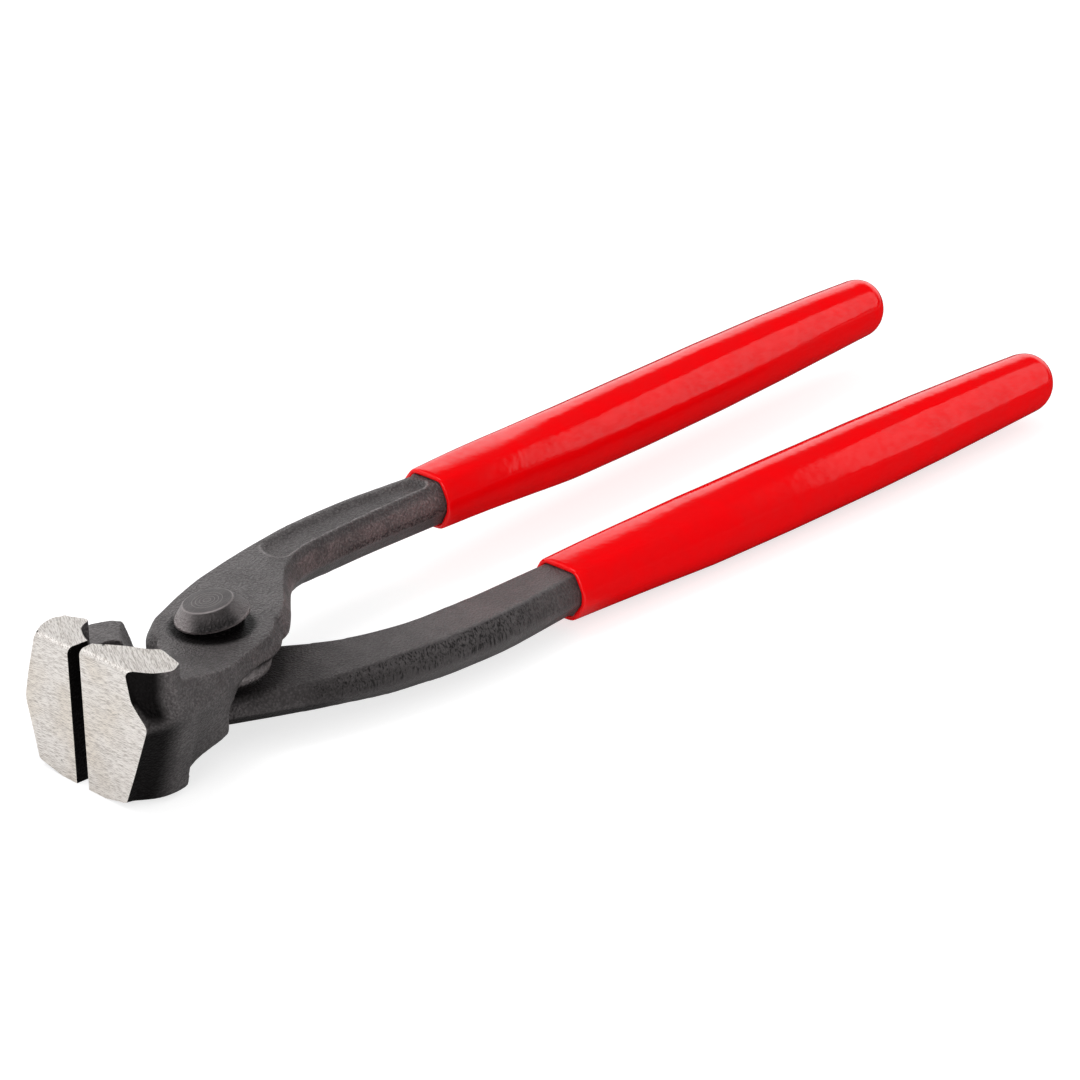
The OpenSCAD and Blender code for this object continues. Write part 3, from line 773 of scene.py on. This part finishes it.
def lean_head(mesh, base, settings, height):
    """Turns what lies above a level and shifts its top sideways, as in a rivet head that was set slightly askew."""
    lean = Matrix.Rotation(settings.lean, 4, LEAN_AXIS)
    pivot = Vector((0, 0, base))
    for vert in mesh.vertices:
        if vert.co.z > base - WELD:
            share = min(1.0, (vert.co.z - base) / height)
            vert.co = lean @ (vert.co - pivot) + pivot + SLIP_WAY * settings.slip * share


def ring_tree():
    """Geometry nodes that lay concentric raised rings about Z, and the inputs that size them."""
    tree = bpy.data.node_groups.new("turned_rings", "GeometryNodeTree")
    sizes = {}
    for label, kind in (("Count", "NodeSocketInt"), ("Pitch", "NodeSocketFloat"),
                        ("Width", "NodeSocketFloat"), ("Height", "NodeSocketFloat")):
        sizes[label] = tree.interface.new_socket(name=label, in_out="INPUT", socket_type=kind)
    tree.interface.new_socket(name="Geometry", in_out="OUTPUT", socket_type="NodeSocketGeometry")
    given, result = tree.nodes.new("NodeGroupInput").outputs, tree.nodes.new("NodeGroupOutput")
    place = put(tree, "ShaderNodeCombineXYZ", Z=given["Height"])
    stack = put(tree, "GeometryNodePoints", Count=given["Count"], Position=place.outputs[0])
    unit = put(tree, "GeometryNodeCurvePrimitiveCircle", {"mode": "RADIUS"}, Resolution=72, Radius=1.0)
    order = calc(tree, "ADD", put(tree, "GeometryNodeInputIndex").outputs[0], 1.0)
    spread = times(tree, order, given["Pitch"])
    size = put(tree, "ShaderNodeCombineXYZ", X=spread, Y=spread, Z=spread)
    laid = put(tree, "GeometryNodeInstanceOnPoints", Points=stack.outputs[0], Instance=unit.outputs[0],
               Scale=size.outputs[0])
    lines = put(tree, "GeometryNodeRealizeInstances", Geometry=laid.outputs[0])
    bead = put(tree, "GeometryNodeCurvePrimitiveCircle", {"mode": "RADIUS"}, Resolution=6,
               Radius=times(tree, given["Width"], 0.5))
    swept = put(tree, "GeometryNodeCurveToMesh", Curve=lines.outputs[0], Profile_Curve=bead.outputs[0])
    smooth = put(tree, "GeometryNodeSetShadeSmooth", Geometry=swept.outputs[0])
    tree.links.new(smooth.outputs[0], result.inputs["Geometry"])
    return tree, sizes


def from_tree(name, tree, sizes, values):
    """Plain mesh that a geometry tree makes from its sizes."""
    carrier = linked(name, bpy.data.meshes.new(name))
    modifier = carrier.modifiers.new(name, "NODES")
    modifier.node_group = tree
    for label, value in values.items():
        modifier[sizes[label].identifier] = value
    mesh = baked(carrier)
    if not mesh.polygons:
        raise RuntimeError(name + " came out empty")
    return mesh


def oval(angles, half_w, half_h, square):
    """Distance from the middle of a squared oval to its rim, with half its width and height in millimetres."""
    w, h = half_w * MM, half_h * MM
    return (np.abs(np.cos(angles) / w) ** square + np.abs(np.sin(angles) / h) ** square) ** (-1 / square)


def tang_outline(angles, rounding):
    """Distance from the middle of the forged section at a sleeve's mouth to its rim, with its corners rounded."""
    half_w, half_h, land, draft = 5.6 * MM, 4.45 * MM, 1.1 * MM, 1.8 * MM
    corners = np.array([(half_w, -land), (half_w, land), (half_w - 1.4 * draft, half_h), (draft - half_w, half_h),
                        (-half_w, land), (-half_w, -land), (draft - half_w, -half_h), (half_w - draft, -half_h)])
    fine, tiny = np.radians(np.arange(0, 360, 1.0)), 1e-6
    ways = np.stack([np.cos(fine), np.sin(fine)], 1)
    reach = np.full(len(fine), np.inf)
    for a, b in zip(corners, np.roll(corners, -1, 0)):
        normal = np.array([b[1] - a[1], a[0] - b[0]]) / np.hypot(*(b - a))
        facing = ways @ normal
        reach = np.minimum(reach, np.where(facing > tiny, (normal @ a) / np.maximum(facing, tiny), np.inf))
    spread = np.exp(-0.5 * (np.minimum(np.arange(360), 360 - np.arange(360)) / rounding) ** 2)
    smooth = np.real(np.fft.ifft(np.fft.fft(reach) * np.fft.fft(spread / spread.sum())))
    return np.interp(np.mod(angles, 2 * math.pi), np.append(fine, 2 * math.pi), np.append(smooth, smooth[0]))


def sleeve_rings(angles, wall):
    """Sections of a sleeve from the blind end of its bore round the mouth to the dip mark: X, radii and rise."""
    length, tip = TIP_X - MOUTH_X, TIP_X - DIP_LENGTH
    dome_share = SLEEVE_ROWS[-1, 0]
    dome_x = MOUTH_X + dome_share * length
    bore, snug = tang_outline(angles, 3.0) + 0.12 * MM, tang_outline(angles, 6.0) + wall
    mouth = oval(angles, *SLEEVE_ROWS[0, 1:])
    rings = [(MOUTH_X + depth, bore, 0.0) for depth in BORE_DEPTHS]
    for turn in np.linspace(0, math.pi, 8):
        radii = bore + (snug - bore) * (1 - math.cos(turn)) / 2
        rings.append((MOUTH_X + 0.4 * MM * (1 - math.sin(turn)), radii, 0.0))
    for share in np.linspace(0.008, dome_share, 88):
        body = oval(angles, *(np.interp(share, SLEEVE_ROWS[:, 0], SLEEVE_ROWS[:, k]) for k in (1, 2, 3)))
        hug = float(1 - ramp(share, 0.0, 0.42))
        rings.append((MOUTH_X + share * length, snug * hug * (body.mean() / mouth.mean()) + body * (1 - hug), 0.0))
    last = rings[-1][1]
    for u in DOME_SHARES:
        radii = last * (1 - u ** DOME_SQUARE) ** (1 / DOME_SQUARE)
        rings.append((dome_x + (tip - dome_x) * u, radii, DIP_RISE * u * u))
    for x, radius in ((tip, 0.75), (tip + 0.12 * MM, 0.55), (TIP_X, 0.25)):
        rings.append((x, np.full(len(angles), radius * MM), DIP_RISE))
    return rings


def sleeve_mesh(name, settings, side, bow):
    """Sleeve that hugs the forged section at its mouth, swells to an oval and ends in a dome with a dip mark."""
    count = settings.sides
    angles = 2 * math.pi * (np.arange(count) + 0.5) / count
    work = bmesh.new()
    loops = []
    for x, radii, rise in sleeve_rings(angles, settings.wall):
        share = (x - MOUTH_X) / (TIP_X - MOUTH_X)
        y, height = (side * (start + (end - start) * share) * MM for start, end in (MIDDLE_Y, MIDDLE_Z))
        z = LAP_Z + height - bow * float(within(share, 0.05, 0.3, 0.35, 0.95)) + rise
        loops.append([work.verts.new((x, y + side * r * math.cos(t), z + side * r * math.sin(t)))
                      for r, t in zip(radii, angles)])
    for first, second in zip(loops, loops[1:]):
        for k in range(count):
            m = (k + 1) % count
            work.faces.new((first[k], first[m], second[m], second[k]))
    work.faces.new(loops[0])
    work.faces.new(loops[-1])
    bmesh.ops.recalc_face_normals(work, faces=work.faces)
    return smooth_mesh(work, name)


# Operators

class NIPPERS_OT_halves(bpy.types.Operator):
    """Makes both forged halves from their solids and grinds their jaws"""

    bl_idname = "nippers.halves"
    bl_label = "Forged halves"

    def execute(self, context):
        settings = context.scene.nippers_halves
        finishes = [forged_skin(settings.skin_color), ground_steel(settings.ground_color)]
        forged_half("upper_half", "upper", -1, 1, finishes, settings)
        forged_half("lower_half", "lower", 1, -1, finishes, settings)
        return {"FINISHED"}


class NIPPERS_OT_rivet(bpy.types.Operator):
    """Turns the pivot rivet and lays the rings on its head"""

    bl_idname = "nippers.rivet"
    bl_label = "Pivot rivet"

    def execute(self, context):
        settings = context.scene.nippers_rivet
        finish = turned_skin(settings.color)
        low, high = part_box("pivot_rivet")
        top, rim, foot = high.z, high.x, low.z
        rim_low, rim_high, head_low = top - RIM_LOW, top - RIM_HIGH, top - HEAD_LOW
        mesh = lathe("pivot_rivet_turned", rounded([
            (0, foot, 0), (FLAT_RADIUS, foot, 0.3 * MM), (rim, foot + FOOT_HIGH, 0.25 * MM),
            (SHANK_RADIUS, foot + FOOT_HIGH, 0.02 * MM), (SHANK_RADIUS, head_low, 0.02 * MM),
            (NECK_RADIUS, head_low, 0.1 * MM), (NECK_RADIUS, rim_low, 0.2 * MM),
            (rim, rim_low, 0.15 * MM), (rim, rim_high, 0.25 * MM),
            (FLAT_RADIUS, top - 0.06 * MM, 0.3 * MM), (3.2 * MM, top, 1.0 * MM), (0, top, 0),
        ]))
        places = points_and_normals(mesh)[0]
        radius, height = np.hypot(places[:, 0], places[:, 1]), places[:, 2]
        # Painted highlights along the rim and the flat's edge.
        brim = ridge(radius - rim, 0.16 * MM) * ramp(height, rim_low - 0.2 * MM, rim_low + 0.1 * MM)
        brow = ridge(radius - FLAT_RADIUS, 0.15 * MM) * ramp(height, top - 0.7 * MM, top - 0.2 * MM)
        cone = within(height, rim_low, rim_high, top - 0.5 * MM, top - 0.1 * MM)
        facing, leftward = (places[:, :2] @ np.array(way) / np.maximum(radius, MM)
                            for way in (CAMERA_WAY, LEFT_WAY))
        # Painted shade on the cone's front and beneath the rim.
        shade = 0.97 * cone * ramp(facing, 0.66, 0.92)
        beneath = ramp(-height, -(rim_low + 0.12 * MM), -(rim_low - 0.02 * MM))
        # Lighter edge: the painted highlights and a painted highlight on the cone's left side.
        set_attribute(mesh, "edge", np.clip(0.8 * brim + 0.7 * brow + 0.8 * cone * ramp(leftward, 0.3, 0.9), 0, 1))
        set_attribute(mesh, "painted_shade", np.maximum(shade, beneath))
        set_attribute(mesh, "cone", cone)
        lean_head(mesh, rim_low, settings, top - rim_low)
        new_piece("pivot_rivet_turned", mesh, [finish], "upper", "turned_steel", "pivot_rivet")
        rings = from_tree("rivet_rings", *ring_tree(), {
            "Count": settings.ring_count, "Pitch": settings.ring_pitch, "Width": settings.ring_width,
            "Height": top - 0.4 * settings.ring_width})
        # Painted highlight: the rings are lighter.
        set_attribute(rings, "edge", np.full(len(rings.vertices), 0.45))
        lean_head(rings, rim_low, settings, top - rim_low)
        new_piece("rivet_rings", rings, [finish], "upper", "turned_steel")
        return {"FINISHED"}


class NIPPERS_OT_sleeves(bpy.types.Operator):
    """Makes the dipped sleeves of both handles"""

    bl_idname = "nippers.sleeves"
    bl_label = "Dipped sleeves"

    def execute(self, context):
        settings = context.scene.nippers_sleeves
        finish = dipped_plastic(settings.color)
        for node, body, side, sag in (("upper_grip", "upper", 1, 1.0), ("lower_grip", "lower", -1, 0.3)):
            mesh = sleeve_mesh(node + "_sleeve", settings, side, sag * settings.bow)
            new_piece(node + "_sleeve", mesh, [finish], body, "red_pvc", node)
        return {"FINISHED"}


def grey(level):
    """Colour without a hue."""
    return (level, level, level, 1)


def stand(thing, right, up, back, place):
    """Puts a camera or a lamp in its place with its own axes."""
    thing.matrix_world = Matrix((*zip(right, up, back, place), (0, 0, 0, 1)))


def camera_axes(settings):
    """Backward, right and up directions of the camera."""
    a, e, r = settings.azimuth, settings.elevation, settings.roll
    back = Vector((math.sin(a) * math.cos(e), -math.cos(a) * math.cos(e), math.sin(e)))
    right = Vector((math.cos(a), math.sin(a), 0))
    up = back.cross(right)
    return back, right * math.cos(r) + up * math.sin(r), up * math.cos(r) - right * math.sin(r)


class NIPPERS_OT_stage(bpy.types.Operator):
    """Sets the camera, the lamps, the white floor and the backdrop"""

    bl_idname = "nippers.stage"
    bl_label = "Stage"

    def execute(self, context):
        settings = context.scene.nippers_stage
        scene = context.scene
        scene.view_settings.view_transform = "Standard"
        back, right, up = camera_axes(settings)
        self.camera(scene, settings, back, right, up)
        self.world(scene, back)
        self.floor()
        self.lamps(settings)
        return {"FINISHED"}

    def camera(self, scene, settings, back, right, up):
        """Camera fitted to the photo."""
        data = bpy.data.cameras.new("camera")
        data.lens, data.sensor_width = settings.lens, 36.0
        data.clip_start, data.clip_end = 0.01, 20.0
        camera = linked("camera", data)
        aim = Vector((AIM_X, 0, LAP_Z))
        stand(camera, right, up, back, aim - right * SHIFT_RIGHT - up * SHIFT_UP + back * settings.distance)
        scene.camera = camera

    def world(self, scene, back):
        """White to the camera, a backdrop low down and at the jaws' side in mirrors, even light elsewhere."""
        world = bpy.data.worlds.new("studio")
        scene.world = world
        world.use_nodes = True
        tree = world.node_tree
        rays = put(tree, "ShaderNodeLightPath").outputs
        way = put(tree, "ShaderNodeTexCoord").outputs["Generated"]
        level = Vector((back.x, back.y, 0)).normalized()
        toward = put(tree, "ShaderNodeVectorMath", {"operation": "DOT_PRODUCT"},
                     _0=way, _1=tuple(level)).outputs["Value"]
        across, beyond, height = put(tree, "ShaderNodeSeparateXYZ", Vector=way).outputs
        low = times(tree, span(tree, height, 0.51, 0.40), span(tree, beyond, -0.3, 0.15))
        open_side = times(tree, span(tree, across, 0.5, 0.2), span(tree, height, 0.9, 0.65))
        behind = times(tree, span(tree, toward, 0.35, -0.2), largest(tree, low, open_side))
        seen = largest(tree, rays["Is Camera Ray"], rays["Is Transmission Ray"])
        mirrored = times(tree, rays["Is Glossy Ray"], scaled(tree, behind, BACKDROP, REST))
        others = calc(tree, "SUBTRACT", 1.0, largest(tree, seen, rays["Is Glossy Ray"]))
        feed(tree, tree.nodes["Background"], Color=grey(1),
             Strength=calc(tree, "ADD", largest(tree, seen, mirrored), times(tree, others, EVEN)))

    def floor(self):
        """White floor that keeps the shadow. It glows for the camera and is dark where the sleeves mirror it."""
        level = min(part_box(n)[0].z for n in frame["nodes"]) - FLOOR_DROP
        corners = [(x * FLOOR_REACH, y * FLOOR_REACH, level) for x, y in ((-1, -1), (1, -1), (1, 1), (-1, 1))]
        mesh = bpy.data.meshes.new("floor")
        mesh.from_pydata(corners, [], [(0, 1, 2, 3)])
        floor = linked("floor", mesh)
        material, tree, shader, coords = new_material("white_floor")
        rays = put(tree, "ShaderNodeLightPath").outputs
        along = put(tree, "ShaderNodeSeparateXYZ", Vector=coords).outputs["X"]
        shaded = times(tree, span(tree, along, 0.065, 0.085), span(tree, along, 0.9, 0.6), rays["Is Glossy Ray"])
        bright = blend(tree, rays["Is Glossy Ray"], grey(0.8), grey(0.77))
        bright = blend(tree, rays["Is Camera Ray"], bright, grey(0.5))
        feed(tree, shader, Base_Color=blend(tree, shaded, bright, grey(0.05)), Roughness=0.9,
             Specular_IOR_Level=0.0, Emission_Color=grey(1),
             Emission_Strength=times(tree, rays["Is Camera Ray"], FLOOR_GLOW))
        mesh.materials.append(material)

    def lamps(self, settings):
        """Three soft panels, each with its shape, place, aim, upward direction, size and power."""
        panels = (
            ("left_panel", "RECTANGLE", (-0.85, -0.18, 0.30), (0.0, 0.0, 0.01), (0, 0, 1), (0.7, 0.5), settings.key),
            ("right_panel", "ELLIPSE", (0.55, -0.18, 0.18), (0.55, 0.54, -0.51), (0.375, 0.64, 0.668), (0.41, 0.47),
             settings.side),
            ("top_panel", "RECTANGLE", (0.05, 0.25, 0.95), (0.08, 0.0, 0.0), (0, 1, 0), (0.7, 0.5), settings.top),
        )
        for name, shape, place, aim, upward, size, power in panels:
            data = bpy.data.lights.new(name, "AREA")
            data.shape, data.size, data.size_y, data.energy = shape, *size, power
            back = (Vector(place) - Vector(aim)).normalized()
            right = Vector(upward).cross(back).normalized()
            stand(linked(name, data), right, back.cross(right), back, place)


class NIPPERS_PT_parts(bpy.types.Panel):
    """Lists the nippers' pieces and their settings"""

    bl_idname = "NIPPERS_PT_parts"
    bl_label = "Nippers"
    bl_space_type = "VIEW_3D"
    bl_region_type = "UI"
    bl_category = "Nippers"

    def draw(self, context):
        for operator, name, group in PARTS:
            box = self.layout.box()
            box.operator(operator.bl_idname)
            for setting in group.__annotations__:
                box.prop(getattr(context.scene, name), setting)


PARTS = (
    (NIPPERS_OT_halves, "nippers_halves", HalfSettings),
    (NIPPERS_OT_rivet, "nippers_rivet", RivetSettings),
    (NIPPERS_OT_sleeves, "nippers_sleeves", SleeveSettings),
    (NIPPERS_OT_stage, "nippers_stage", StageSettings),
)


def register():
    for operator, name, group in PARTS:
        bpy.utils.register_class(group)
        setattr(bpy.types.Scene, name, PointerProperty(type=group))
        bpy.utils.register_class(operator)
    bpy.utils.register_class(NIPPERS_PT_parts)


def unregister():
    bpy.utils.unregister_class(NIPPERS_PT_parts)
    for operator, name, group in reversed(PARTS):
        bpy.utils.unregister_class(operator)
        delattr(bpy.types.Scene, name)
        bpy.utils.unregister_class(group)


def main():
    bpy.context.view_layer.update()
    register()
    bpy.ops.nippers.halves()
    bpy.ops.nippers.rivet()
    bpy.ops.nippers.sleeves()
    bpy.ops.nippers.stage()


if __name__ == "__main__":
    main()
